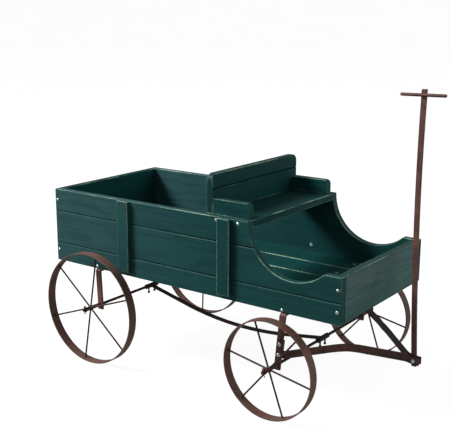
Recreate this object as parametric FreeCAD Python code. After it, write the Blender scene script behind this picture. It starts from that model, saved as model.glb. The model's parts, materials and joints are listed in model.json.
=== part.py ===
import FreeCAD, Part
import math
import os
from FreeCAD import Placement, Rotation, Vector

# Decorative garden wagon: a stained wooden box with a bench seat on four spoked steel wheels.
# Millimetres. +X runs forward to the pull handle, +Y to the wagon's left, +Z up.
# Shapes are drawn about the middle of the box and moved on writing, so that the origin
# lies on the ground below the middle of the whole wagon.

# Wooden box
box_length = 590.0
box_width = 276.0
box_clearance = 165.0  # ground to the lower edge of the boards
board_thickness = 12.0
side_height = 133.0
front_height = 74.0
scoop_radius = 80.5  # round dip in each side board, in front of the seat
edge_ease = 1.0  # bevel along every board edge
groove_width = 3.2
groove_depth = 1.8
lower_groove_rise = 34.0  # lower edge of the boards to the lower groove
upper_groove_rise = 93.0

# Upright battens on the side boards
batten_width = 24.0
batten_thickness = 8.0
batten_drop = 125.0  # length down from the top edge
rear_batten_inset = 170.0  # rear of the box to the middle of the rear battens
front_batten_inset = 43.0  # seat's front edge back to the middle of the front battens

# Floor
cleat_width = 30.0
cleat_height = 12.0
cleat_outset = 5.5  # cleat's middle beyond the axle
floor_thickness = 10.0
floor_board_count = 4
floor_gap = 3.0

# Bench seat
seat_setback = 164.5  # front of the box back to the seat's front edge
seat_depth = 89.5
back_thickness = 12.0
back_height = 63.5
back_corner_radius = 12.0
back_groove_rise = 39.5
arm_thickness = 12.0
arm_height = 25.0
arm_length = 72.0
arm_corner_radius = 8.0

# Wood screws: round heads outside, flush heads inside
screw_radius = 1.75
screw_point = 3.0
round_head_radius = 2.8
round_head_height = 1.5
flush_head_radius = 3.2
flush_head_height = 2.0
side_screw_length = 30.0
corner_screw_inset = 20.0
cleat_screw_rise = 4.0  # lower edge of the boards to the cleat screws
seat_screw_insets = (19.5, 61.2)  # seat's front edge back to each screw
floor_screw_length = 19.0
batten_screw_length = 16.0
batten_screw_inset = 25.0
back_screw_length = 26.0
back_screw_spread = 80.0
bracket_screw_length = 14.0

# Axle brackets: a flat bar bent to a U under the box
wheelbase = 377.0  # between the axles
leg_width = 10.4
leg_thickness = 4.0
leg_outset = 2.0  # leg's outer face beyond the side board
leg_foot = 9.0  # leg below the axle's middle
leg_bend_radius = 1.5
leg_leans = {"rear": -3.0, "front": 8.4}  # each leg's top ahead of its axle

# Wheels and axles
rear_wheel_radius = 100.0
front_wheel_radius = 80.0
rim_width = 16.0
rim_thickness = 2.0
rim_stand_off = 23.4  # leg's outer face to the middle of the rim
spoke_radius = 1.5
spoke_count = 6
hub_radius = 3.5
hub_length = 33.5
hub_ease = 0.5
axle_radius = 2.5
axle_end = 4.4  # axle beyond the split pin's middle
washer_radius = 4.4
washer_thickness = 1.2
split_pin_radius = 1.0
split_pin_eye_radius = 2.4
split_pin_eye_hole = 1.2
split_pin_eye_width = 1.5
split_pin_leg = 6.0
split_pin_leg_radius = 0.65
split_pin_spread = 24.0  # degrees, each leg from straight
spoke_turns = {"rear_right": 20.0, "rear_left": 28.0, "front_right": 50.0, "front_left": 49.0}  # degrees

# Reach bar between the axles
reach_width = 6.5
reach_thickness = 4.2
reach_low_share = 0.5235  # rear axle to the corner of its two straight runs, of the way to the front axle
reach_drop = 26.6  # front axle's middle down to that corner
reach_bend_radius = 588.0
sleeve_radius = 4.4
sleeve_length = 32.0
set_screw_radius = 1.5
set_screw_spread = 8.0
set_screw_reach = 11.0  # axle's middle down to the head
set_screw_head_height = 2.4
set_screw_head_radius = 2.6

# Drawbar: two arched straps that close to a fork
strap_height = 12.0
strap_thickness = 3.0
strap_bend_radius = 10.0
strap_corner_radius = 1.0
strap_lead = 14.6  # straight run ahead of the leg
strap_rise = 16.0  # front axle up to the strap's middle at the leg
arch_lead = 78.6  # front axle ahead to the top of the arch
arch_rise = 22.9  # front axle up to the top of the arch
arch_spread = 60.6  # middle of the wagon to each strap at the top of the arch
arch_bend_radius = 105.0
drawbar_reach = 57.8  # front of the box to the handle's pivot
fork_rise = 1.2  # front axle up to the fork
fork_level = 1.2  # level part of the fork behind the pivot
fork_length = 12.4  # closed part of the fork behind the pivot
fork_tip = 9.7  # strap ahead of the pivot
tab_bolt_rise = 17.5  # upper drawbar bolt above the lower one
tab_margin = 6.5

# Pull handle
handle_width = 8.0
handle_thickness = 4.0
handle_rise = 421.0  # pivot to the top end
handle_foot = 10.0  # pivot to the lower end
handle_bow = 4.4  # bulge to the rear
handle_lean = 0.91  # degrees back from upright
handle_ease = 0.6
grip_radius = 2.5
grip_length = 73.0
grip_drop = 8.4  # top end down to the grip
grip_seat = 0.9  # depth of the grip's seat in the bar

# Bolts and nuts
bolt_radius = 2.0
bolt_head_radius = 3.2
bolt_head_height = 2.0
bolt_tail = 1.5  # bolt beyond its nut
nut_radius = 4.0
nut_height = 3.2

# Fits
fit_gap = 0.05  # round fits, on the radius
slight_turn = 0.1  # radians, a turn too slight to need a round bend
slip_gap = 0.3  # between parts that turn past each other
bend_room_share = 0.9  # of a straight run, what the bends at its ends may take
cut_overrun = 5.0

# Places worked out from the sizes above
along = Vector(1, 0, 0)
across = Vector(0, 1, 0)
upward = Vector(0, 0, 1)
half_length = box_length / 2
half_width = box_width / 2
inner_half = half_width - board_thickness
inner_front = half_length - board_thickness
side_top = box_clearance + side_height
front_top = box_clearance + front_height
floor_bottom = box_clearance + cleat_height
floor_top = floor_bottom + floor_thickness
seat_front = half_length - seat_setback
seat_rear = seat_front - seat_depth
seat_bottom = side_top - board_thickness
batten_bottom = side_top - batten_drop
axle_reach = wheelbase / 2
arch_top_x = axle_reach + arch_lead
arch_top_z = front_wheel_radius + arch_rise
reach_low_x = (2 * reach_low_share - 1) * axle_reach
reach_low_z = front_wheel_radius - reach_drop
cleat_reach = axle_reach + cleat_outset
leg_outer = half_width + leg_outset
leg_inner = leg_outer - leg_thickness
bracket_middle = box_clearance - leg_thickness / 2
inner_washer = leg_outer
hub_inner = inner_washer + washer_thickness + slip_gap
outer_washer = hub_inner + hub_length + slip_gap
split_pin_place = outer_washer + washer_thickness + split_pin_radius + fit_gap
axle_half = split_pin_place + axle_end
rim_middle = leg_outer + rim_stand_off
pivot_reach = half_length + drawbar_reach
fork_inner = handle_thickness / 2 + slip_gap
fork_outer = fork_inner + strap_thickness
grip_rise = handle_rise - grip_drop
bow_radius = (handle_rise**2 / 4 + handle_bow**2) / (2 * handle_bow)
pivot = Vector(pivot_reach, 0, front_wheel_radius + fork_rise)
lower_bolt_z = front_wheel_radius + strap_rise
upper_bolt_z = lower_bolt_z + tab_bolt_rise
sides = {"right": -1, "left": 1}
ends = {"rear": -1, "front": 1}
wheel_radii = {"rear": rear_wheel_radius, "front": front_wheel_radius}
leans = {end: leg_leans[end] / (box_clearance - wheel_radii[end]) for end in ends}


def leg_middle(end, z):
    """Middle of a leg along the wagon at a height."""
    return ends[end] * axle_reach + leans[end] * (z - wheel_radii[end])


def bow_ahead(rise):
    """Middle of the bowed handle bar ahead of its pivot, before it leans."""
    away = rise - handle_rise / 2
    return bow_radius - handle_bow - math.sqrt(bow_radius**2 - away**2)


lean_angle = math.radians(handle_lean)
grip_back = grip_rise * math.sin(lean_angle) - bow_ahead(grip_rise) * math.cos(lean_angle)
grip_ahead = (grip_length / 2 - grip_radius) * math.cos(lean_angle) + grip_radius
box_middle = (half_length - (pivot_reach - grip_back + grip_ahead)) / 2


# Shared shapes
def block(low, high):
    """A plain box between two corners."""
    size = high - low
    return Part.makeBox(size.x, size.y, size.z, low)


def board(low, high):
    """A plank with eased edges between two corners."""
    blank = block(low, high)
    return blank.makeChamfer(edge_ease, blank.Edges)


def v_groove(start, run, inward):
    """A V cut that starts on a face, follows run and sinks along inward."""
    sideways = run.cross(inward).normalize()
    flare = groove_width / 2 * (1 + cut_overrun / groove_depth)
    tip = start + inward * groove_depth
    mouth = start - inward * cut_overrun
    outline = Part.makePolygon([tip, mouth + sideways * flare, mouth - sideways * flare, tip])
    return Part.Face(outline).extrude(run)


def stand(shape, place, axis):
    """Turn a shape drawn along +Z to an axis and set it at a place."""
    shape.Placement = Placement(place, Rotation(upward, axis))
    return shape


def rod(radius, start, finish):
    """A round bar between two points."""
    run = finish - start
    return Part.makeCylinder(radius, run.Length, start, run)


def tube(outer_radius, inner_radius, start, finish):
    """A round tube between two points."""
    return rod(outer_radius, start, finish).cut(rod(inner_radius, start, finish))


def turned(edges):
    """A solid of revolution about Z from the edges of its half section."""
    return Part.Face(Part.Wire(edges)).revolve(Vector(), upward, 360)


def polyline(points):
    """Edges that join points in a row."""
    return [Part.makeLine(first, second) for first, second in zip(points, points[1:])]


def dome_edge(radius, height):
    """Quarter outline of a round head that bulges below Z zero."""
    sphere = (radius**2 + height**2) / (2 * height)
    half_turn = math.asin(radius / sphere) / 2
    middle = Vector(sphere * math.sin(half_turn), 0, sphere * (1 - math.cos(half_turn)) - height)
    return Part.Arc(Vector(0, 0, -height), middle, Vector(radius, 0, 0)).toShape()


def round_screw(length, gap=0.0):
    """A round-head wood screw that points along +Z from its seat."""
    shank = screw_radius + gap
    line = [Vector(round_head_radius, 0, 0), Vector(shank, 0, 0), Vector(shank, 0, length - screw_point)]
    line += [Vector(0, 0, length), Vector(0, 0, -round_head_height)]
    return turned([dome_edge(round_head_radius, round_head_height)] + polyline(line))


def flush_screw(length, gap=0.0):
    """A flush-head wood screw that points along +Z from its seat."""
    shank = screw_radius + gap
    line = [Vector(), Vector(flush_head_radius + gap, 0, 0), Vector(shank, 0, flush_head_height)]
    line += [Vector(shank, 0, length - screw_point), Vector(0, 0, length), Vector()]
    return turned(polyline(line))


def round_bolt(length):
    """A round-head bolt that points along +Z from its seat."""
    line = [Vector(bolt_head_radius, 0, 0), Vector(bolt_radius, 0, 0), Vector(bolt_radius, 0, length)]
    line += [Vector(0, 0, length), Vector(0, 0, -bolt_head_height)]
    return turned([dome_edge(bolt_head_radius, bolt_head_height)] + polyline(line))


def hexagon(radius, height):
    """A six-sided prism that stands on Z zero."""
    corners = [Vector(radius, 0, 0)]
    turn = Rotation(upward, 60)
    for _ in range(6):
        corners.append(turn.multVec(corners[-1]))
    return Part.Face(Part.makePolygon(corners)).extrude(upward * height)


def nut():
    """A six-sided nut that stands on Z zero."""
    return hexagon(nut_radius, nut_height).cut(Part.makeCylinder(bolt_radius + fit_gap, nut_height))


def group(shapes):
    """Separate solids kept together as one node."""
    return Part.makeCompound(shapes)


def edge_at(solid, point, run):
    """The straight edge of a solid from a point along run."""
    for edge in solid.Edges:
        tips = [vertex.Point for vertex in edge.Vertexes]
        misses = [min(tip.distanceToPoint(wanted) for tip in tips) for wanted in (point, point + run)]
        if max(misses) < fit_gap:
            return edge


def bend_radius(points, index, thickness, inner_radius):
    """Inner radius of a bend, limited by the straight runs on its two sides."""
    before, after = points[index] - points[index - 1], points[index + 1] - points[index]
    bends_before, bends_after = min(index, 2), min(len(points) - 1 - index, 2)
    room = bend_room_share * min(before.Length / bends_before, after.Length / bends_after)
    return min(inner_radius, room / math.tan(before.getAngle(after) / 2) - thickness / 2)


def bent_strip(points, thickness, inner_radius, run):
    """A flat bar bent along a row of points with round bends, as wide as run."""
    wide = Vector(run).normalize()
    steps = [(second - first).normalize() for first, second in zip(points, points[1:])]
    normals = [wide.cross(step) for step in steps]
    mitres = [(a + b) / (1 + a.dot(b)) for a, b in zip(normals, normals[1:])]
    offsets = [shift * (thickness / 2) for shift in normals[:1] + mitres + normals[-1:]]
    upper = [point + shift for point, shift in zip(points, offsets)]
    lower = [point - shift for point, shift in zip(points, offsets)]
    strip = Part.Face(Part.makePolygon(upper + lower[::-1] + upper[:1])).extrude(run)
    for index, (before, after) in enumerate(zip(steps, steps[1:]), 1):
        if before.getAngle(after) < slight_turn:
            continue
        to_upper = before.cross(after).dot(wide) > 0
        inner, outer = (upper, lower) if to_upper else (lower, upper)
        radius = bend_radius(points, index, thickness, inner_radius)
        strip = strip.makeFillet(radius, [edge_at(strip, inner[index], run)])
        strip = strip.makeFillet(radius + thickness, [edge_at(strip, outer[index], run)])
    return strip


def leaning_band(end, low, high):
    """A slab as wide as a leg that follows its lean, right across the wagon."""
    half = leg_width / 2
    feet = [(low, -half), (low, half), (high, half), (high, -half), (low, -half)]
    outline = [Vector(leg_middle(end, z) + shift, -leg_outer - cut_overrun, z) for z, shift in feet]
    return Part.Face(Part.makePolygon(outline)).extrude(across * 2 * (leg_outer + cut_overrun))


# Screw places: seat of the head and the way it points
def corner_screw_places():
    places = []
    for side in sides.values():
        for end, top in ((-1, side_top), (1, front_top)):
            for z in (box_clearance + corner_screw_inset, top - corner_screw_inset):
                seat = Vector(end * (half_length - board_thickness / 2), side * half_width, z)
                places.append((seat, across * -side))
    return places


def seat_screw_places():
    z = side_top - board_thickness / 2
    rows = [seat_front - inset for inset in seat_screw_insets]
    return [(Vector(x, side * half_width, z), across * -side) for side in sides.values() for x in rows]


def cleat_screw_places():
    z = box_clearance + cleat_screw_rise
    pairs = [(end, side) for end in ends.values() for side in sides.values()]
    return [(Vector(end * cleat_reach, side * half_width, z), across * -side) for end, side in pairs]


def floor_middles():
    """Middle of each floor board across the wagon, and the boards' width."""
    width = (2 * inner_half - (floor_board_count + 1) * floor_gap) / floor_board_count
    first = floor_gap + width / 2 - inner_half
    return [first + index * (width + floor_gap) for index in range(floor_board_count)], width


def floor_screw_places():
    middles, _ = floor_middles()
    rows = [end * cleat_reach for end in ends.values()]
    return [(Vector(x, y, floor_top), -upward) for x in rows for y in middles]


def batten_middles():
    return {"rear": rear_batten_inset - half_length, "front": seat_front - front_batten_inset}


def batten_screw_places():
    places = []
    for side in sides.values():
        for x in batten_middles().values():
            for z in (batten_bottom + batten_screw_inset, side_top - batten_screw_inset):
                places.append((Vector(x, side * inner_half, z), across * side))
    return places


def back_screw_places():
    back_x = seat_rear + back_thickness / 2
    arm_x = seat_rear + back_thickness + arm_length / 2
    arm_y = inner_half - arm_thickness / 2
    spots = [(back_x, share * back_screw_spread) for share in (-1, 0, 1)]
    spots += [(arm_x, -arm_y), (arm_x, arm_y)]
    return [(Vector(x, y, seat_bottom), upward) for x, y in spots]


def bracket_screw_places():
    places = []
    for end in ends:
        x = leg_middle(end, bracket_middle)
        for side in sides.values():
            places.append((Vector(x, side * inner_half / 2, box_clearance - leg_thickness), upward))
    return places


def screws(form, length, places, gap=0.0):
    return group([stand(form(length, gap), seat, way) for seat, way in places])


def side_screws(places, gap=0.0):
    return screws(round_screw, side_screw_length, places, gap)


def floor_screws(gap=0.0):
    return screws(flush_screw, floor_screw_length, floor_screw_places(), gap)


def batten_screws(gap=0.0):
    return screws(flush_screw, batten_screw_length, batten_screw_places(), gap)


def back_screws(gap=0.0):
    return screws(flush_screw, back_screw_length, back_screw_places(), gap)


def bracket_screws(gap=0.0):
    return screws(round_screw, bracket_screw_length, bracket_screw_places(), gap)


# Wooden box
def side_panel(side):
    """One wide side board with its round dip, grooves and screw holes."""
    outer, inner = side * half_width, side * inner_half
    low = Vector(-half_length, min(outer, inner), box_clearance)
    blank = block(low, Vector(half_length, max(outer, inner), side_top))
    dip_middle = Vector(seat_front + scoop_radius, low.y - cut_overrun, side_top)
    reach = board_thickness + 2 * cut_overrun
    blank = blank.cut(Part.makeCylinder(scoop_radius, reach, dip_middle, across))
    shoulder = Vector(dip_middle.x, dip_middle.y, front_top)
    above = Vector(half_length + cut_overrun, low.y + reach, side_top + cut_overrun)
    blank = blank.cut(block(shoulder, above))
    panel = blank.makeChamfer(edge_ease, blank.Edges)
    for rise in (lower_groove_rise, upper_groove_rise):
        start = Vector(-half_length - cut_overrun, outer, box_clearance + rise)
        panel = panel.cut(v_groove(start, along * (box_length + 2 * cut_overrun), across * -side))
    for holes in (corner_screw_places(), seat_screw_places(), cleat_screw_places()):
        panel = panel.cut(side_screws(holes, fit_gap))
    return panel.cut(batten_screws(fit_gap))


def end_panel(end, top, grooves):
    """A board that closes one end of the box between the sides."""
    outer, inner = end * half_length, end * inner_front
    low = Vector(min(outer, inner), -inner_half, box_clearance)
    panel = board(low, Vector(max(outer, inner), inner_half, top))
    for rise in grooves:
        start = Vector(outer, -inner_half - cut_overrun, box_clearance + rise)
        panel = panel.cut(v_groove(start, across * 2 * (inner_half + cut_overrun), along * -end))
    return panel.cut(side_screws(corner_screw_places(), fit_gap))


def batten(side, middle):
    """An upright strip on the outside of a side board."""
    outer, inner = side * (half_width + batten_thickness), side * half_width
    low = Vector(middle - batten_width / 2, min(outer, inner), batten_bottom)
    strip = board(low, Vector(middle + batten_width / 2, max(outer, inner), side_top))
    return strip.cut(batten_screws(fit_gap))


def cross_cleat(end):
    """The cross rail that carries the floor and takes the axle bracket."""
    middle = ends[end] * cleat_reach
    low = Vector(middle - cleat_width / 2, -inner_half, box_clearance)
    rail = board(low, Vector(middle + cleat_width / 2, inner_half, floor_bottom))
    rail = rail.cut(side_screws(cleat_screw_places(), fit_gap))
    return rail.cut(floor_screws(fit_gap)).cut(bracket_screws(fit_gap))


def floor_board(middle, width):
    low = Vector(floor_gap - inner_front, middle - width / 2, floor_bottom)
    plank = board(low, Vector(inner_front - floor_gap, middle + width / 2, floor_top))
    return plank.cut(floor_screws(fit_gap))


# Bench seat
def seat_board():
    plank = board(Vector(seat_rear, -inner_half, seat_bottom), Vector(seat_front, inner_half, side_top))
    return plank.cut(side_screws(seat_screw_places(), fit_gap)).cut(back_screws(fit_gap))


def seat_back():
    """The upright back board with round upper corners and one groove in front."""
    top = side_top + back_height
    face = seat_rear + back_thickness
    blank = block(Vector(seat_rear, -inner_half, side_top), Vector(face, inner_half, top))
    spots = [Vector(seat_rear, side * inner_half, top) for side in sides.values()]
    corners = [edge_at(blank, spot, along * back_thickness) for spot in spots]
    blank = blank.makeFillet(back_corner_radius, corners)
    panel = blank.makeChamfer(edge_ease, blank.Edges)
    start = Vector(face, -inner_half - cut_overrun, side_top + back_groove_rise)
    panel = panel.cut(v_groove(start, across * 2 * (inner_half + cut_overrun), -along))
    return panel.cut(back_screws(fit_gap))


def seat_arm(side):
    """A low arm board on the seat, round at its upper front corner."""
    outer, inner = side * inner_half, side * (inner_half - arm_thickness)
    rear = seat_rear + back_thickness
    top = side_top + arm_height
    low = Vector(rear, min(outer, inner), side_top)
    blank = block(low, Vector(rear + arm_length, max(outer, inner), top))
    corner = edge_at(blank, Vector(rear + arm_length, low.y, top), across * arm_thickness)
    blank = blank.makeFillet(arm_corner_radius, [corner])
    return blank.makeChamfer(edge_ease, blank.Edges).cut(back_screws(fit_gap))


# Axles, brackets and wheels
def axle_line(end, from_y, to_y):
    x, z = ends[end] * axle_reach, wheel_radii[end]
    return Vector(x, from_y, z), Vector(x, to_y, z)


def split_pin_hole(end, side):
    middle = Vector(ends[end] * axle_reach, side * split_pin_place, wheel_radii[end])
    return rod(split_pin_radius + fit_gap, middle - upward * hub_radius, middle + upward * hub_radius)


def axle(end):
    bar = rod(axle_radius, *axle_line(end, -axle_half, axle_half))
    bar = bar.makeChamfer(hub_ease, [edge for edge in bar.Edges if edge.Closed])
    return bar.cut(group([split_pin_hole(end, side) for side in sides.values()]))


def axle_bracket(end):
    """A flat bar bent to a U, with a leg down each side to the axle."""
    foot = wheel_radii[end] - leg_foot
    leg_y = leg_outer - leg_thickness / 2
    rear = Vector(leg_middle(end, foot) - box_clearance, 0, 0)
    outline = [(-leg_y, foot), (-leg_y, bracket_middle), (leg_y, bracket_middle), (leg_y, foot)]
    points = [rear + across * y + upward * z for y, z in outline]
    strip = bent_strip(points, leg_thickness, leg_bend_radius, along * 2 * box_clearance)
    bracket = strip.common(leaning_band(end, foot, box_clearance))
    reach = leg_outer + cut_overrun
    bracket = bracket.cut(rod(axle_radius + fit_gap, *axle_line(end, -reach, reach)))
    bracket = bracket.cut(bracket_screws(fit_gap))
    return bracket.cut(drawbar_bolt_holes()) if end == "front" else bracket


def wheel_rim(end, side):
    middle = side * rim_middle
    line = axle_line(end, middle - rim_width / 2, middle + rim_width / 2)
    return tube(wheel_radii[end], wheel_radii[end] - rim_thickness, *line)


def wheel_hub(end, side):
    line = axle_line(end, side * hub_inner, side * (hub_inner + hub_length))
    hub = rod(hub_radius, *line)
    hub = hub.makeChamfer(hub_ease, [edge for edge in hub.Edges if edge.Closed])
    return hub.cut(rod(axle_radius + fit_gap, *line))


def wheel_spokes(end, side, turn):
    """Round spokes from the hub's wall to the inside of the rim."""
    radius = wheel_radii[end] - rim_thickness
    middle, _ = axle_line(end, side * rim_middle, 0)
    near, far = rim_middle - spoke_radius, rim_middle + spoke_radius
    inside = rod(radius, *axle_line(end, side * near, side * far))
    core = rod(hub_radius, *axle_line(end, side * hub_inner, side * (hub_inner + hub_length)))
    spokes = []
    for index in range(spoke_count):
        way = Rotation(-across, turn + index * 360 / spoke_count).multVec(along)
        spokes.append(rod(spoke_radius, middle, middle + way * wheel_radii[end]).common(inside).cut(core))
    return group(spokes)


def washers(end):
    rings = []
    for side in sides.values():
        for start in (inner_washer, outer_washer):
            line = axle_line(end, side * start, side * (start + washer_thickness))
            rings.append(tube(washer_radius, axle_radius + fit_gap, *line))
    return group(rings)


def split_pin(end, side):
    """A split pin through the axle: an eye above, two spread legs below."""
    middle = Vector(ends[end] * axle_reach, side * split_pin_place, wheel_radii[end])
    eye_middle = middle + upward * (axle_radius + split_pin_eye_radius)
    half = across * split_pin_eye_width / 2
    eye = tube(split_pin_eye_radius, split_pin_eye_hole, eye_middle - half, eye_middle + half)
    neck = eye_middle - upward * split_pin_eye_hole
    fork = middle - upward * (axle_radius + split_pin_radius)
    pin = rod(split_pin_radius, neck, fork).fuse(eye)
    for way in (-1, 1):
        leg = Rotation(across, -way * split_pin_spread).multVec(-upward)
        root = fork + upward * split_pin_radius
        root += along * way * (split_pin_radius - split_pin_leg_radius) / 2
        pin = pin.fuse(rod(split_pin_leg_radius, root, root + leg * split_pin_leg))
    return pin.removeSplitter()


def split_pins(end):
    return group([split_pin(end, side) for side in sides.values()])


# Reach bar
def reach_bar():
    """A flat bar that dips between the axles and meets a sleeve at each."""
    corner = Vector(reach_low_x, -reach_width / 2, reach_low_z)
    points = [axle_line(end, -reach_width / 2, 0)[0] for end in ends]
    points.insert(1, corner)
    bar = bent_strip(points, reach_thickness, reach_bend_radius, across * reach_width)
    for end in ends:
        bar = bar.cut(rod(sleeve_radius, *axle_line(end, -sleeve_length, sleeve_length)))
    return max(bar.Solids, key=lambda solid: solid.Volume)


def set_screw_tops(end):
    """Where each set screw meets the axle."""
    x, z = ends[end] * axle_reach, wheel_radii[end] - axle_radius
    return [Vector(x, side * set_screw_spread, z) for side in sides.values()]


def reach_sleeve(end):
    """A short tube welded to the bar, held on its axle by two set screws."""
    line = axle_line(end, -sleeve_length / 2, sleeve_length / 2)
    sleeve = tube(sleeve_radius, axle_radius + fit_gap, *line)
    tops = set_screw_tops(end)
    holes = [rod(set_screw_radius + fit_gap, top, top - upward * sleeve_radius) for top in tops]
    return sleeve.cut(group(holes))


def set_screws():
    pieces = []
    for end in ends:
        for top in set_screw_tops(end):
            seat = Vector(top.x, top.y, wheel_radii[end] - set_screw_reach)
            head = stand(hexagon(set_screw_head_radius, set_screw_head_height), seat, -upward)
            pieces.append(rod(set_screw_radius, seat, top).fuse(head))
    return group(pieces)


# Drawbar and pull handle
def drawbar_bolt_seats():
    """Outer end of each drawbar bolt's grip, on the leg."""
    seats = []
    for side in sides.values():
        for z in (lower_bolt_z, upper_bolt_z):
            seats.append((Vector(leg_middle("front", z), side * leg_outer, z), side))
    return seats


def drawbar_bolt_holes():
    depth = leg_thickness + strap_thickness
    seats = drawbar_bolt_seats()
    return group([rod(bolt_radius + fit_gap, seat, seat - across * side * depth) for seat, side in seats])


def drawbar_bolts():
    length = leg_thickness + strap_thickness + nut_height + bolt_tail
    seats = drawbar_bolt_seats()
    return group([stand(round_bolt(length), seat, across * -side) for seat, side in seats])


def drawbar_nuts():
    depth = leg_thickness + strap_thickness
    seats = drawbar_bolt_seats()
    return group([stand(nut(), seat - across * side * depth, across * -side) for seat, side in seats])


def strap_profile():
    """Side view of the straps, right across the wagon: up to the arch, down and level at the fork."""
    root = Vector(leg_middle("front", lower_bolt_z), -leg_outer, lower_bolt_z)
    top = Vector(arch_top_x, -leg_outer, arch_top_z)
    start = root + (root - top) * (leg_width / (top.x - root.x))
    level = pivot - along * fork_level - across * leg_outer
    finish = level + along * 2 * (fork_level + fork_tip)
    return bent_strip([start, top, level, finish], strap_height, arch_bend_radius, across * 2 * leg_outer)


def drawbar(side):
    """An arched strap from the front leg in to the fork that holds the handle."""
    rear = leg_middle("front", lower_bolt_z) - leg_width / 2
    wide_y = leg_inner - strap_thickness / 2
    fork_y = fork_inner + strap_thickness / 2
    plan = [(rear, wide_y), (rear + strap_lead, wide_y), (arch_top_x, arch_spread)]
    plan += [(pivot_reach - fork_length, fork_y), (pivot_reach + fork_tip, fork_y)]
    points = [Vector(x, side * y, 0) for x, y in plan]
    wall = bent_strip(points, strap_thickness, strap_bend_radius, upward * box_clearance)
    tab = wall.common(leaning_band("front", lower_bolt_z, upper_bolt_z + tab_margin))
    strap = wall.common(strap_profile())
    strap = strap.makeFillet(strap_corner_radius, [edge for edge in strap.Edges if at_tip(edge)])
    strap = strap.fuse(tab).removeSplitter()
    hole = rod(bolt_radius + fit_gap, pivot - across * leg_outer, pivot + across * leg_outer)
    return strap.cut(drawbar_bolt_holes()).cut(hole)


def at_tip(edge):
    """Whether an edge is one of the short edges across a strap's front end."""
    tips = [vertex.Point for vertex in edge.Vertexes]
    at_front = all(tip.x > pivot_reach + fork_tip - fit_gap for tip in tips)
    return at_front and abs(tips[0].y - tips[-1].y) > strap_thickness / 2


def lean_back(shape):
    """Turn a handle part back about the pivot to its resting lean."""
    return shape.rotate(pivot, across, -handle_lean)


def grip_rod(gap=0.0):
    """The handle's cross rod with round ends, seated on the bar's right face."""
    radius = grip_radius + gap
    middle = pivot + along * bow_ahead(grip_rise) + upward * grip_rise
    middle -= across * (handle_thickness / 2 - grip_seat + grip_radius)
    half = along * (grip_length / 2 - grip_radius)
    bar = rod(radius, middle - half, middle + half)
    for tip in (middle - half, middle + half):
        bar = bar.fuse(Part.makeSphere(radius, tip))
    return bar.removeSplitter()


def handle_bar():
    """A bowed flat bar with its pivot hole and a seat for the grip."""
    face = across * handle_thickness / 2
    middle = pivot + along * (bow_radius - handle_bow) + upward * handle_rise / 2
    ring = tube(bow_radius + handle_width / 2, bow_radius - handle_width / 2, middle - face, middle + face)
    low = pivot - face - along * (handle_bow + handle_width) - upward * handle_foot
    bar = ring.common(block(low, pivot + face + along * handle_width + upward * handle_rise))
    bar = bar.makeChamfer(handle_ease, [edge for edge in bar.Edges if edge.Length < 2 * handle_width])
    bar = bar.cut(rod(bolt_radius + fit_gap, pivot - face, pivot + face))
    return lean_back(bar.cut(grip_rod(fit_gap)))


def handle_grip():
    return lean_back(grip_rod())


def pivot_bolt():
    length = 2 * fork_outer + nut_height + bolt_tail
    return stand(round_bolt(length), pivot - across * fork_outer, across)


def pivot_nut():
    return stand(nut(), pivot + across * fork_outer, across)


# All nodes
def wagon():
    nodes = {
        "front_panel": end_panel(1, front_top, [lower_groove_rise]),
        "rear_panel": end_panel(-1, side_top, [lower_groove_rise, upper_groove_rise]),
        "seat_board": seat_board(),
        "seat_back": seat_back(),
        "reach_bar": reach_bar(),
        "handle_bar": handle_bar(),
        "handle_grip": handle_grip(),
        "pivot_bolt": pivot_bolt(),
        "pivot_nut": pivot_nut(),
        "drawbar_bolts": drawbar_bolts(),
        "drawbar_nuts": drawbar_nuts(),
        "reach_set_screws": set_screws(),
        "corner_screws": side_screws(corner_screw_places()),
        "seat_side_screws": side_screws(seat_screw_places()),
        "cleat_screws": side_screws(cleat_screw_places()),
        "floor_screws": floor_screws(),
        "batten_screws": batten_screws(),
        "seat_back_screws": back_screws(),
        "bracket_screws": bracket_screws(),
    }
    middles, width = floor_middles()
    for number, middle in enumerate(middles, 1):
        nodes[f"floor_board_{number}"] = floor_board(middle, width)
    for side_name, side in sides.items():
        nodes[f"side_panel_{side_name}"] = side_panel(side)
        nodes[f"seat_arm_{side_name}"] = seat_arm(side)
        nodes[f"drawbar_{side_name}"] = drawbar(side)
        for end, middle in batten_middles().items():
            nodes[f"batten_{end}_{side_name}"] = batten(side, middle)
    for end in ends:
        nodes[f"cross_cleat_{end}"] = cross_cleat(end)
        nodes[f"axle_bracket_{end}"] = axle_bracket(end)
        nodes[f"axle_{end}"] = axle(end)
        nodes[f"washers_{end}"] = washers(end)
        nodes[f"split_pins_{end}"] = split_pins(end)
        nodes[f"reach_sleeve_{end}"] = reach_sleeve(end)
        for side_name, side in sides.items():
            wheel = f"{end}_{side_name}"
            nodes[f"wheel_rim_{wheel}"] = wheel_rim(end, side)
            nodes[f"wheel_hub_{wheel}"] = wheel_hub(end, side)
            nodes[f"wheel_spokes_{wheel}"] = wheel_spokes(end, side, spoke_turns[wheel])
    return nodes


os.makedirs("parts", exist_ok=True)
for name, shape in wagon().items():
    moved = shape.copy()
    moved.translate(Vector(box_middle, 0, 0))
    moved.exportStep(f"parts/{name}.step")
print("box middle", round(box_middle, 4), "pivot", round(pivot.x + box_middle, 4), round(pivot.z, 4))
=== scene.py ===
import json
import math
import random

import bmesh
import bpy
from mathutils import Matrix, Vector


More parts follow.
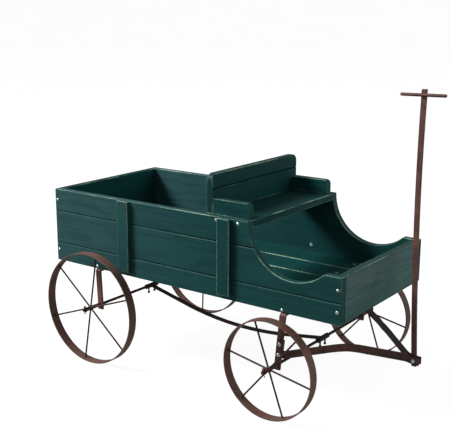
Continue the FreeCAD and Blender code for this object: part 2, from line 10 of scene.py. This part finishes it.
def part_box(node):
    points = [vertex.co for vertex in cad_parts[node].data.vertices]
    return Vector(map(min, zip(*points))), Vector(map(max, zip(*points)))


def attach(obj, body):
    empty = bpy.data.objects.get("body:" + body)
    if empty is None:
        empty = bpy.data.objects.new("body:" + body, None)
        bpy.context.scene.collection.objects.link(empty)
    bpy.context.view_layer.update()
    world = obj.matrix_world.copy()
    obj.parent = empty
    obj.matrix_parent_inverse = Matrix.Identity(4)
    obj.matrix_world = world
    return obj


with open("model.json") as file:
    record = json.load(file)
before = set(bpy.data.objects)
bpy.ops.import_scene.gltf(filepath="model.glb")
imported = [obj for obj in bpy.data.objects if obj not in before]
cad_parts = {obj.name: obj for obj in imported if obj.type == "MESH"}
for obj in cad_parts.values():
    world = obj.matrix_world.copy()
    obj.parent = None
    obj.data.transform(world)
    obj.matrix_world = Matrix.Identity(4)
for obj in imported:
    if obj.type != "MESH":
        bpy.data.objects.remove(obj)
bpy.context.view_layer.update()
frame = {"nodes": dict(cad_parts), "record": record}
nodes = frame["nodes"]
scene = bpy.context.scene
random.seed(7)

# camera, at the photograph's angle
cameraSet = {
    "place": (0.82333, -1.20252, 0.61534),
    "yaw": 36.08,  # degrees round from the wagon's right side
    "pitch": 13.27,
    "roll": 0.18,
    "sensor": 36,
    "lens": 69.73,
    "shift": (-0.0055, -0.0051),
    "clip": (0.01, 60),
}


def makeCamera():
    yaw, pitch, roll = (math.radians(cameraSet[key]) for key in ("yaw", "pitch", "roll"))
    back = Vector((math.sin(yaw) * math.cos(pitch), -math.cos(yaw) * math.cos(pitch), math.sin(pitch)))
    right = Vector((math.cos(yaw), math.sin(yaw), 0))
    up = back.cross(right)
    right, up = right * math.cos(roll) + up * math.sin(roll), up * math.cos(roll) - right * math.sin(roll)
    facing = Matrix((right, up, back)).transposed().to_4x4()
    camera = bpy.data.objects.new("camera", bpy.data.cameras.new("camera"))
    scene.collection.objects.link(camera)
    camera.matrix_world = Matrix.Translation(cameraSet["place"]) @ facing
    camera.data.sensor_width = cameraSet["sensor"]
    camera.data.lens = cameraSet["lens"]
    camera.data.shift_x, camera.data.shift_y = cameraSet["shift"]
    camera.data.clip_start, camera.data.clip_end = cameraSet["clip"]
    scene.camera = camera


makeCamera()
print("camera set")


class Flow:  # one shader socket; an expression on it adds its Math nodes
    def __init__(self, tree, socket=None):
        self.tree, self.socket = tree, socket

    def make(self, kind, settings=None, sockets=None, out=0):  # any node: settings first, then sockets
        node = self.tree.nodes.new("ShaderNode" + kind)
        for key, value in (settings or {}).items():
            setattr(node, key, value)
        for key, value in (sockets or {}).items():
            plug = node.inputs[key]
            if isinstance(value, Flow):
                self.tree.links.new(value.socket, plug)
            elif plug.type == "RGBA":
                plug.default_value = (*value, 1)
            else:
                plug.default_value = value
        return Flow(self.tree, node.outputs[out] if node.outputs else None)

    def apply(self, operation, *values):
        return self.make("Math", {"operation": operation}, dict(enumerate(values)))

    def __add__(self, other):
        return self.apply("ADD", self, other)

    def __radd__(self, other):
        return self.apply("ADD", other, self)

    def __sub__(self, other):
        return self.apply("SUBTRACT", self, other)

    def __rsub__(self, other):
        return self.apply("SUBTRACT", other, self)

    def __mul__(self, other):
        return self.apply("MULTIPLY", self, other)

    def __rmul__(self, other):
        return self.apply("MULTIPLY", other, self)

    def __lt__(self, other):
        return self.apply("LESS_THAN", self, other)

    def __gt__(self, other):
        return self.apply("GREATER_THAN", self, other)

    def __abs__(self):
        return self.apply("ABSOLUTE", self)

    def root(self):
        return self.apply("SQRT", self)

    def sine(self):
        return self.apply("SINE", self)

    def least(self, other):
        return self.apply("MINIMUM", self, other)

    def most(self, other):
        return self.apply("MAXIMUM", self, other)

    def swing(self, amount):  # a noise about its middle
        return (self - 0.5) * amount

    def ease(self, low, high, share=1.0):  # 0 up to low, the share from high on
        sockets = {"Value": self, "From Min": low, "From Max": high, "To Max": share}
        return self.make("MapRange", {"interpolation_type": "SMOOTHSTEP", "clamp": True}, sockets)

    def blend(self, first, second):  # this socket is the share of the second colour
        colourSockets = {0: self, 6: first, 7: second}
        return self.make("Mix", {"data_type": "RGBA"}, colourSockets, 2)  # 2 is the colour that comes out

    def noise(self, shift, scale, detail, rough, twist=0.0):  # this socket is the place
        moved = self.make("VectorMath", {"operation": "ADD"}, {0: self, 1: shift})
        sized = self.make("VectorMath", {"operation": "MULTIPLY"}, {0: moved, 1: scale})
        sockets = {"Vector": sized, "Scale": 1, "Detail": detail, "Roughness": rough, "Distortion": twist}
        return self.make("TexNoise", {"noise_dimensions": "3D"}, sockets)

    def parts(self):
        return [self.make("SeparateXYZ", None, {0: self}, index) for index in range(3)]


def newFinish(name):  # an empty material and the place on the piece, in metres
    material = bpy.data.materials.new(name)
    material.use_nodes = True
    material.node_tree.nodes.clear()
    return material, Flow(material.node_tree).make("TexCoord", out="Object")


bevelRays = 6


def closeFinish(material, place, sockets, height=None, bump=None):
    if height is not None:
        relief = {"Strength": bump["strength"], "Distance": bump["depth"], "Height": height}
        if "easing" in bump:  # edges catch the light as if eased
            relief["Normal"] = place.make("Bevel", {"samples": bevelRays}, {"Radius": bump["easing"]})
        sockets["Normal"] = place.make("Bump", None, relief)
    shader = place.make("BsdfPrincipled", None, sockets)
    place.make("OutputMaterial", None, {"Surface": shader})
    return material


def linear(*screen):  # a screen colour, 0 to 255, as light
    shares = [value / 255 for value in screen]
    return tuple(share / 12.92 if share < 0.04045 else ((share + 0.055) / 1.055) ** 2.4 for share in shares)


def seedShift(seed, steps):  # moves the noise on for every piece
    return [seed * step for step in steps]


# stained wood: green stain over pine, with a painted sheen that makes it paler towards the rear
woodSet = {
    "stain": linear(11, 61, 60),
    "deepStain": linear(8, 43, 45),
    "seatStainShade": linear(9, 51, 50),
    "thinStain": linear(34, 82, 80),
    "greyStainSheen": linear(70, 94, 93),
    "frontStainSheen": linear(58, 90, 86),
    "frontTop": linear(2, 44, 35),
    "endGrain": linear(4, 62, 54),
    "rearSheen": linear(58, 89, 93),
    "dark": linear(3, 30, 32),
    "seedSteps": (0.371, 0.193, 0.557),
    "ring": ((2.2, 38.0), 3, 0.5, 0.6),  # scale along and across the grain, detail, roughness, twist
    "streak": ((5.5, 95.0), 5, 0.62, 0.3),
    "pore": ((9.0, 420.0), 4, 0.6),
    "cloud": ((7, 7), 4, 0.6),
    "speck": ((260, 260), 3, 0.6),
    "patch": ((11, 11), 4, 0.6),
    "ringBands": 21.0,
    "ringTone": (0.9, 0.1, 0.3),  # noise where the tone starts and is full, and its share there
    "streakTone": (0.5, 0.8, 0.18),
    "cloudTone": (0.42, 0.72, 0.35),
    "poreTone": (0.60, 0.72, 0.2),
    "rearSheenTone": (0.06, -0.36, 0.5),  # painted sheen: metres along the wagon in place of noise
    "sideRearSheen": 0.1,
    "sawnDepth": 0.0006, "sawnShare": 0.8,
    "topDepth": 0.0004, "topShare": 0.8,
    "shadowGap": (0.0004, 0.0014), "jointRub": (0.0008, 0.0020),
    "rough": 0.5, "streakRough": 0.18, "poreRough": 0.15, "wearRough": 0.2,
    "sheen": 0.12,
    "ringHeight": 0.2, "streakHeight": 0.5, "poreHeight": 0.6, "wearHeight": 0.35,
    "bump": {"strength": 0.25, "depth": 0.0005, "easing": 0.0004},
    "dipRadius": 0.0805, "dipShoulder": 0.0276,  # round dip of each side board, level edge ahead of it
    "ways": {  # way of the grain on each board
        "side_panel": "X", "front_panel": "Y", "rear_panel": "Y", "batten": "Z", "cross_cleat": "Y",
        "floor_board": "X", "seat_board": "Y", "seat_back": "Y", "seat_arm": "X",
    },
}
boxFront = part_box("side_panel_right")[1].x
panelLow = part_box("side_panel_right")[0].z
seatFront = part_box("seat_board")[1].x
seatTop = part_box("seat_board")[1].z
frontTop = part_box("front_panel")[1].z


def woodNoises(place, way, seed):
    shift = seedShift(seed, woodSet["seedSteps"])
    noises = {}
    for key in ("ring", "streak", "pore", "cloud", "speck", "patch"):
        (lengthwise, crosswise), *form = woodSet[key]
        scale = [lengthwise if axis == way else crosswise for axis in "XYZ"]
        noises[key] = place.noise(shift, scale, *form)
    return noises


def boardStain(name, x, z):  # ground colour of a board
    low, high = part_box(name)
    if name == "front_panel":  # stain and painted sheen, lighter and greyer towards its top edge
        return z.ease(low.z, high.z).blend(woodSet["frontStainSheen"], woodSet["greyStainSheen"])
    # painted shade: the seat boards take a darker stain
    if name in ("seat_back", "seat_board"):
        return woodSet["seatStainShade"]
    if name.startswith(("side_panel", "batten")):
        # painted sheen: sides and battens paler and bluer towards the rear, the sides more so
        rearSheen = x.ease(*woodSet["rearSheenTone"])
        if name.startswith("side_panel"):
            rearSheen = rearSheen + woodSet["sideRearSheen"]
        return rearSheen.blend(woodSet["stain"], woodSet["rearSheen"])
    return woodSet["stain"]


def boardEdge(name, x, y, z):  # distance to the nearest arris
    low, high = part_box(name)
    gaps = [(spot - start).least(end - spot) for spot, start, end in zip((x, y, z), low, high)]
    if name.startswith("side_panel"):
        radius = woodSet["dipRadius"]
        ahead, rise = x - (seatFront + radius), z - seatTop
        dip = abs((ahead * ahead + rise * rise).root() - radius)
        shoulder = abs(z - frontTop) + (x < boxFront - woodSet["dipShoulder"])
        gaps[2] = gaps[2].least(dip).least(shoulder)
    first, second, third = gaps
    return first.least(second).most(first.most(second).least(third))  # the middle one of the three


# pale wear along the edges
wearSet = {
    "bare": linear(146, 174, 150),
    "width": 0.0015,
    "streakRag": 1.2, "speckRag": 1.0,  # in widths
    "full": 0.3, "none": 1.1,  # in widths from the arris
    "patches": (0.43, 0.6),  # some lengths of edge are rubbed more
    "least": 0.1, "battenLeast": 0.55,
    "share": 0.85,
    "haloWidth": 0.010, "haloTone": (0.42, 0.7, 0.2),  # stain thins out beside an edge
}


def rubbedEdge(name, edge, noises):
    width = wearSet["width"]
    ragged = edge + noises["streak"].swing(wearSet["streakRag"] * width)
    ragged = ragged + noises["speck"].swing(wearSet["speckRag"] * width)
    least = wearSet["battenLeast" if name.startswith("batten") else "least"]
    patches = least + noises["patch"].ease(*wearSet["patches"], 1 - least)
    return (1 - ragged.ease(wearSet["full"] * width, wearSet["none"] * width)) * patches


# dark grooves with rubbed lips: the dark is painted shade, and the front panel's groove is lifted with
# painted light
grooveSet = {
    "shade": linear(3, 30, 32),
    # painted light: a paler colour that lifts the shade in the front panel's groove
    "frontGrooveLight": linear(76, 102, 100),
    "bareLip": linear(100, 140, 128),
    "half": 0.0016,  # half the width
    "low": 0.034, "high": 0.093, "back": 0.0395,  # rise above the side boards' foot, the last above the seat
    "skin": 0.0025,  # in from the face, past the bottom
    "away": 0.1,  # added to the distance off that skin
    "streakRag": 0.0007, "speckRag": 0.0006,
    "cut": (0.0012, 0.0020), "dull": 0.6,
    "lowerLip": (0.0002, 0.0008), "upperLip": (0.0001, 0.0006), "upperShare": 0.35,
    "patches": (0.44, 0.6),
    "tones": (0.42, 0.3, 0.28, 0.18),  # shade, more of it in patches, bare lip, more of it in patches
    "boardTones": {"front_panel": (0.6, 0.0, 0.0, 0.25), "seat_back": (0.6, 0.4, 0.0, 0.25)},
    "sideTone": (-0.3, 0.05, 0.7), "rearTone": 0.3,  # fainter towards the rear, on the side boards
}


def grooveLines(name, x, y):  # heights of a board's grooves, and 1 on the skin that has them
    low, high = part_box(name)
    heights = [panelLow + grooveSet["low"], panelLow + grooveSet["high"]]
    if name == "side_panel_right":
        return heights, y < low.y + grooveSet["skin"]
    if name == "side_panel_left":
        return heights, y > high.y - grooveSet["skin"]
    if name == "rear_panel":
        return heights, x < low.x + grooveSet["skin"]
    if name == "front_panel":
        return heights[:1], x > high.x - grooveSet["skin"]
    return [seatTop + grooveSet["back"]], x > high.x - grooveSet["skin"]


def addGrooves(name, spots, noises, colour, roughness):
    x, y, z = spots
    heights, onSkin = grooveLines(name, x, y)
    ragged = noises["streak"].swing(grooveSet["streakRag"]) + noises["speck"].swing(grooveSet["speckRag"])
    ragged = ragged + (1 - onSkin) * grooveSet["away"]
    gaps = []
    for shift in (0, -grooveSet["half"], grooveSet["half"]):  # to the bottom, the lower lip and the upper lip
        first, last = (abs(z - (height + shift)) for height in (heights[0], heights[-1]))
        gaps.append(first.least(last) + ragged)
    bottom, lower, upper = gaps
    shade, patchShade, lip, patchLip = grooveSet["boardTones"].get(name, grooveSet["tones"])
    patches = noises["patch"].ease(*grooveSet["patches"])
    shade, lip = shade + patches * patchShade, lip + patches * patchLip
    if name.startswith("side_panel"):
        fade = x.ease(*grooveSet["sideTone"]) + grooveSet["rearTone"]
        shade, lip = shade * fade, lip * fade
    cut = 1 - bottom.ease(*grooveSet["cut"])
    # painted shade in the grooves, painted light in the front panel's groove
    colour = (cut * shade).blend(colour, grooveSet["frontGrooveLight" if name == "front_panel" else "shade"])
    rubbed = (1 - upper.ease(*grooveSet["upperLip"])) * grooveSet["upperShare"]
    rubbed = rubbed.most(1 - lower.ease(*grooveSet["lowerLip"]))
    colour = (rubbed * lip).blend(colour, grooveSet["bareLip"])
    return colour, roughness + cut * grooveSet["dull"]


def stainedWood(name, seed):
    material, place = newFinish("stain_" + name)
    x, y, z = place.parts()
    low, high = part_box(name)
    way = next(grain for start, grain in woodSet["ways"].items() if name.startswith(start))
    noises = woodNoises(place, way, seed)
    streak, pore = noises["streak"], noises["pore"]
    figure = abs((noises["ring"] * woodSet["ringBands"]).sine())  # growth rings as soft bands
    colour = figure.ease(*woodSet["ringTone"]).blend(boardStain(name, x, z), woodSet["deepStain"])
    colour = streak.ease(*woodSet["streakTone"]).blend(colour, woodSet["thinStain"])
    colour = noises["cloud"].ease(*woodSet["cloudTone"]).blend(colour, woodSet["deepStain"])
    colour = pore.ease(*woodSet["poreTone"]).blend(colour, woodSet["dark"])
    edge = boardEdge(name, x, y, z)
    wear = rubbedEdge(name, edge, noises)
    roughness = woodSet["rough"] + streak.swing(woodSet["streakRough"]) + pore.swing(woodSet["poreRough"])
    roughness = roughness + wear * woodSet["wearRough"]
    if name.startswith(("side_panel", "front_panel", "rear_panel", "seat_back")):
        colour, roughness = addGrooves(name, (x, y, z), noises, colour, roughness)
    if way == "X":  # sawn ends drink more stain
        sawn = (x - low.x).least(high.x - x) < woodSet["sawnDepth"]
        colour = (sawn * woodSet["sawnShare"]).blend(colour, woodSet["endGrain"])
    if name in ("front_panel", "rear_panel"):  # dark top, and painted shadow along the joints against the side boards
        top = z > high.z - woodSet["topDepth"]
        colour = (top * woodSet["topShare"]).blend(colour, woodSet["frontTop"])
        shadowGap = (y - low.y).least(high.y - y)
        wear = wear * shadowGap.ease(*woodSet["jointRub"])
        # painted shadow along the gaps at both ends
        colour = (1 - shadowGap.ease(*woodSet["shadowGap"])).blend(colour, woodSet["dark"])
    halo = (1 - edge.ease(0, wearSet["haloWidth"])) * streak.ease(*wearSet["haloTone"])
    colour = halo.blend(colour, woodSet["thinStain"])
    colour = (wear * wearSet["share"]).blend(colour, wearSet["bare"])
    height = figure * woodSet["ringHeight"] + streak * woodSet["streakHeight"]
    height = height + pore * woodSet["poreHeight"] - wear * woodSet["wearHeight"]
    sockets = {"Base Color": colour, "Roughness": roughness, "Specular IOR Level": woodSet["sheen"]}
    return closeFinish(material, place, sockets, height, woodSet["bump"])


# rust-brown coated steel
steelSet = {
    "coat": linear(98, 62, 53),
    "darkCoat": linear(56, 37, 32),
    "redCoat": linear(124, 75, 64),
    "paintedLightCoat": linear(128, 86, 76),
    "bare": linear(142, 114, 103),
    "dust": linear(88, 77, 66),
    "shadowCoat": linear(17, 12, 11),
    "seedSteps": (0.217, 0.731, 0.419),
    "cloud": ((26, 26, 26), 5, 0.6),  # scale, detail, roughness, twist
    "grit": ((900, 900, 900), 3, 0.65),
    "spots": ((170, 170, 170), 5, 0.6, 0.4),
    "rimDust": ((34, 34, 34), 4, 0.6),
    "coatTone": (0.35, 0.7),  # noise where the tone starts and is full, and its share there
    "dustTone": (0.44, 0.6, 0.75),
    "redTone": (0.5, 0.72, 0.7),
    "bareTone": (0.62, 0.8, 0.6), "bareSpots": (0.4, 0.6),
    "pitTone": (0.45, 0.25, 0.45),
    "paintedLightCloud": 0.2, "shadowSpots": 0.35,  # what the noise adds to a share of painted light, takes from a share of painted shade
    "rough": 0.56, "spotRough": 0.35, "gritRough": 0.2,
    "metal": 0.15,
    "gritHeight": 0.5, "spotHeight": 0.6,
    "bump": {"strength": 0.4, "depth": 0.0004, "easing": 0.0006},
    "paintedLightShares": {"wheel_rim": 0.3, "axle_bracket_rear": 0.45, "handle_bar": 0.05},  # painted light: lighter coat on these parts
    "shadowShares": {  # painted shade: these parts darkened as if in shadow
        "axle_rear": 0.9, "axle_front": 0.9, "reach": 0.9, "wheel_spokes": 0.85, "drawbar_left": 0.8,
        "wheel_rim_rear_left": 0.4, "wheel_rim_front_left": 0.4,
    },
}


def coatedSteel(name, seed):
    material, place = newFinish("coat_" + name)
    shift = seedShift(seed, steelSet["seedSteps"])
    cloud, grit, spots = (place.noise(shift, *steelSet[key]) for key in ("cloud", "grit", "spots"))
    colour = cloud.ease(*steelSet["coatTone"]).blend(steelSet["darkCoat"], steelSet["coat"])
    # painted light: a lighter copy of the coat
    for start, share in steelSet["paintedLightShares"].items():
        if name.startswith(start):
            colour = (share + cloud * steelSet["paintedLightCloud"]).blend(colour, steelSet["paintedLightCoat"])
    if name.startswith("wheel_rim"):
        dust = place.noise(shift, *steelSet["rimDust"])
        colour = dust.ease(*steelSet["dustTone"]).blend(colour, steelSet["dust"])
    colour = spots.ease(*steelSet["redTone"]).blend(colour, steelSet["redCoat"])
    bare = grit.ease(*steelSet["bareTone"]) * spots.ease(*steelSet["bareSpots"])
    colour = bare.blend(colour, steelSet["bare"])
    colour = grit.ease(*steelSet["pitTone"]).blend(colour, steelSet["darkCoat"])
    # painted shade: darker under the box, on the far strap and on the far rims
    for start, share in steelSet["shadowShares"].items():
        if name.startswith(start):
            colour = (share - spots * steelSet["shadowSpots"]).blend(colour, steelSet["shadowCoat"])
    roughness = steelSet["rough"] + spots.swing(steelSet["spotRough"]) + grit.swing(steelSet["gritRough"])
    height = grit * steelSet["gritHeight"] + spots * steelSet["spotHeight"]
    sockets = {"Base Color": colour, "Roughness": roughness, "Metallic": steelSet["metal"]}
    return closeFinish(material, place, sockets, height, steelSet["bump"])


# bright zinc on screws and bolts
zincSet = {
    "bright": linear(240, 249, 253),
    "dull": linear(214, 223, 229),
    "screwBright": linear(205, 216, 220),
    "screwDull": linear(178, 190, 196),
    "stain": linear(140, 140, 138),
    "seedSteps": (0.61, 0.27, 0.83),
    "cloud": ((240, 240, 240), 4, 0.6),  # scale, detail, roughness
    "scratch": ((2600, 500, 900), 3, 0.6),
    "cloudTone": (0.35, 0.65),
    "stainTone": (0.6, 0.8, 0.4),
    "rough": 0.27, "cloudRough": 0.3, "scratchRough": 0.2,
    "metal": 0.5,
    "bump": {"strength": 0.2, "depth": 0.0002},
}


def brightZinc(name, seed):
    material, place = newFinish("zinc_" + name)
    shift = seedShift(seed, zincSet["seedSteps"])
    cloud, scratch = (place.noise(shift, *zincSet[key]) for key in ("cloud", "scratch"))
    kinds = ("screwDull", "screwBright") if name.endswith("screws") else ("dull", "bright")
    colour = cloud.ease(*zincSet["cloudTone"]).blend(*(zincSet[kind] for kind in kinds))
    colour = scratch.ease(*zincSet["stainTone"]).blend(colour, zincSet["stain"])
    roughness = zincSet["rough"] + cloud.swing(zincSet["cloudRough"]) + scratch.swing(zincSet["scratchRough"])
    sockets = {"Base Color": colour, "Roughness": roughness, "Metallic": zincSet["metal"]}
    return closeFinish(material, place, sockets, scratch, zincSet["bump"])


makers = {"stained_wood": stainedWood, "rust_steel": coatedSteel, "zinc_steel": brightZinc}


def dressNodes():
    slots = {part["node"]: part["material_slot"] for part in frame["record"]["subparts"]}
    for seed, (name, piece) in enumerate(sorted(nodes.items()), 1):
        finish = makers[slots[name]](name, seed)
        piece.data.materials.clear()
        piece.data.materials.append(finish)


dressNodes()
print("finishes on", len(nodes), "nodes")

mergeGap = 1e-6  # corners nearer than this are one


def solidsOf(name):  # places of each solid's corners in a node
    work = bmesh.new()
    work.from_mesh(nodes[name].data)
    bmesh.ops.remove_doubles(work, verts=work.verts, dist=mergeGap)
    seen, solids = set(), []
    for first in work.verts:  # in mesh order, so that every run draws alike
        if first in seen:
            continue
        seen.add(first)
        solid, front = [], [first]
        while front:
            vertex = front.pop()
            solid.append(vertex.co.copy())
            near = [link.other_vert(vertex) for link in vertex.link_edges]
            fresh = [other for other in near if other not in seen]
            seen.update(fresh)
            front += fresh
        solids.append(solid)
    work.free()
    return solids


def makePiece(name, corners, faces):
    mesh = bpy.data.meshes.new(name)
    mesh.from_pydata([tuple(corner) for corner in corners], [], faces)
    piece = bpy.data.objects.new(name, mesh)
    scene.collection.objects.link(piece)
    return piece


# cross recess in each round head
recessSet = {
    "half": 0.0015, "arm": 0.00042, "depth": 0.0009,
    "proud": 0.0005,  # cutter above the crown
    "taper": 0.7,
    "turn": 1.57,  # radians, most that a recess is turned
}
recessNodes = ["corner_screws", "seat_side_screws", "cleat_screws"]


def crossOutline():
    half, arm = recessSet["half"], recessSet["arm"]
    outline = []
    for quarter in range(4):
        turn = Matrix.Rotation(quarter * math.pi / 2, 2)
        outline += [turn @ Vector(corner) for corner in ((half, -arm), (half, arm), (arm, arm))]
    return outline


def cutRecesses(name):
    outline = crossOutline()
    corners, faces = [], []
    for solid in solidsOf(name):
        side = 1 if solid[0].y > 0 else -1
        crown = max(side * corner.y for corner in solid)
        x, z = ((min(values) + max(values)) / 2 for values in zip(*((spot.x, spot.z) for spot in solid)))
        turn = Matrix.Rotation(random.uniform(0, recessSet["turn"]), 2)
        start, count = len(corners), len(outline)
        for depth, share in ((recessSet["proud"], 1), (-recessSet["depth"], recessSet["taper"])):
            for corner in outline:
                spot = turn @ corner * share
                corners.append((x + spot.x, side * (crown + depth), z + spot.y))
        top, under = range(start, start + count), range(start + count, start + 2 * count)
        rings = [(top[n - 1], top[n], under[n], under[n - 1]) for n in range(count)]
        shell = [tuple(top)[::-1], tuple(under)] + rings
        faces += shell if side > 0 else [face[::-1] for face in shell]
    cutter = makePiece(name + "_recess", corners, faces)
    cutter.hide_render = True
    piece = nodes[name]
    piece.modifiers.new("weld", "WELD").merge_threshold = mergeGap
    cut = piece.modifiers.new("recess", "BOOLEAN")
    cut.operation, cut.solver, cut.object = "DIFFERENCE", "EXACT", cutter


for name in recessNodes:
    cutRecesses(name)
print("recesses cut in", len(recessNodes), "sets of screws")

# weld beads at both ends of every spoke
beadSet = {
    "reach": 0.0010, "rise": 0.0011, "root": 0.0015,
    "crest": ((1.0, 0.0), (0.7, 0.55), (0.25, 0.9), (-0.2, 1.05)),  # shares of reach and rise
    "sink": 0.0006,  # foot in from the spoke's end
    "steps": 12,
    "lump": 0.16,
    "seed": 90,
}


def addBead(corners, faces, foot, axis, radius):  # a lumpy ring round a rod, closed under its foot
    across = axis.orthogonal().normalized()
    beside = axis.cross(across)
    reach, rise, root, steps = (beadSet[key] for key in ("reach", "rise", "root", "steps"))
    crest = [(out, up * rise) for out, up in beadSet["crest"]]
    profile = [(crest[0][0], -root)] + crest + [(crest[-1][0], -root)]
    start, size = len(corners), len(profile)
    for step in range(steps):
        angle = step * math.tau / steps
        lump = 1 + random.uniform(-beadSet["lump"], beadSet["lump"])
        outward = across * math.cos(angle) + beside * math.sin(angle)
        for out, up in profile:
            lift = axis * up * (lump if up > 0 else 1)
            corners.append(foot + outward * (radius + reach * out * lump) + lift)
    for step in range(steps):
        here, there = start + step * size, start + (step + 1) % steps * size
        for n in range(size):
            after = (n + 1) % size
            faces.append((here + n, there + n, there + after, here + after))


def spokeAxis(solid, middle):  # from the mean of one end's corners to the mean of the other's
    far = max(solid, key=lambda corner: (corner - middle).length)
    outward = [corner for corner in solid if (corner - middle).dot(far - middle) > 0]
    inward = [corner for corner in solid if (corner - middle).dot(far - middle) < 0]
    return (sum(outward, Vector()) / len(outward) - sum(inward, Vector()) / len(inward)).normalized()


def weldWheel(wheel):
    corners, faces = [], []
    for solid in solidsOf("wheel_spokes_" + wheel):
        middle = sum(solid, Vector()) / len(solid)
        axis = spokeAxis(solid, middle)
        arms = [corner - middle for corner in solid]
        reaches = [arm.dot(axis) for arm in arms]
        radius = max((arm - axis * reach).length for arm, reach in zip(arms, reaches))
        addBead(corners, faces, middle + axis * (max(reaches) - beadSet["sink"]), -axis, radius)
        addBead(corners, faces, middle + axis * (min(reaches) + beadSet["sink"]), axis, radius)
    piece = makePiece("weld_beads_" + wheel, corners, faces)
    for face in piece.data.polygons:
        face.use_smooth = True
    piece.data.materials.append(coatedSteel(piece.name, beadSet["seed"] + len(wheel)))
    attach(piece, "wheel_" + wheel)


wheels = ["rear_left", "rear_right", "front_left", "front_right"]
for wheel in wheels:
    weldWheel(wheel)
print("weld beads on", len(wheels), "wheels")

# studio: pale floor that sweeps up all round, soft key from the upper left, white wall on the far right
studioSet = {
    "floor": 0.1, "floorPale": 0.13,
    "tone": ((3, 3, 3), 2, 0.5), "toneRange": (0.2, 0.8),
    "floorRough": 0.9,
    "glow": 0.93,
    "radius": 9.0, "sweep": 4.0, "height": 16.0, "sides": 96,
    "sweepTurns": (0, 0.25, 0.5, 0.75, 1.0, 1.3, 1.57),  # radians
    "surround": 0.32,
    "key": 150.0, "keyPlace": (-2.0, -1.4, 2.3), "keySize": 0.9,
    "wall": 26.0, "wallPlace": (1.7, 1.25, 0.75), "wallSize": 1.7,
    "aim": (0, 0, 0.2),
}
white = (1, 1, 1)


def paleFloor():
    material, place = newFinish("pale_floor")
    tone = place.noise((0, 0, 0), *studioSet["tone"]).ease(*studioSet["toneRange"])
    sockets = {
        "Base Color": tone.blend((studioSet["floor"],) * 3, (studioSet["floorPale"],) * 3),
        "Roughness": studioSet["floorRough"],
        "Emission Color": white,
        "Emission Strength": studioSet["glow"],
    }
    return closeFinish(material, place, sockets)


def makeFloor():
    sides, radius, sweep = (studioSet[key] for key in ("sides", "radius", "sweep"))
    turns = [(math.cos(n * math.tau / sides), math.sin(n * math.tau / sides)) for n in range(sides)]
    floor = makePiece("floor", [(x * radius, y * radius, 0) for x, y in turns], [tuple(range(sides))])
    bend = []
    for angle in studioSet["sweepTurns"]:
        bend.append((radius + sweep * math.sin(angle), sweep - sweep * math.cos(angle)))
    bend.append((radius + sweep, studioSet["height"]))
    ring = [(x * out, y * out, rise) for out, rise in bend for x, y in turns]
    faces = []
    for row in range(len(bend) - 1):
        here, above = row * sides, (row + 1) * sides
        for n in range(sides):
            after = (n + 1) % sides
            faces.append((here + n, here + after, above + after, above + n))
    backdrop = makePiece("backdrop", ring, faces)
    backdrop.visible_shadow = False
    finish = paleFloor()
    for piece in (floor, backdrop):
        piece.data.materials.append(finish)
        piece.visible_diffuse = False
        piece.visible_glossy = False


def makeLights():
    world = bpy.data.worlds.new("surround")
    scene.world = world
    world.use_nodes = True
    background = world.node_tree.nodes["Background"].inputs
    background["Color"].default_value = (*white, 1)
    background["Strength"].default_value = studioSet["surround"]
    for name in ("key", "wall"):
        light = bpy.data.objects.new(name, bpy.data.lights.new(name, "AREA"))
        light.data.energy, light.data.size = studioSet[name], studioSet[name + "Size"]
        scene.collection.objects.link(light)
        light.visible_glossy = name == "key"  # the wall fills without a sheen
        light.location = studioSet[name + "Place"]
        towards = Vector(studioSet["aim"]) - light.location
        light.rotation_euler = towards.to_track_quat("-Z", "Y").to_euler()
    scene.view_settings.view_transform = "Standard"


makeFloor()
makeLights()
print("studio lit")
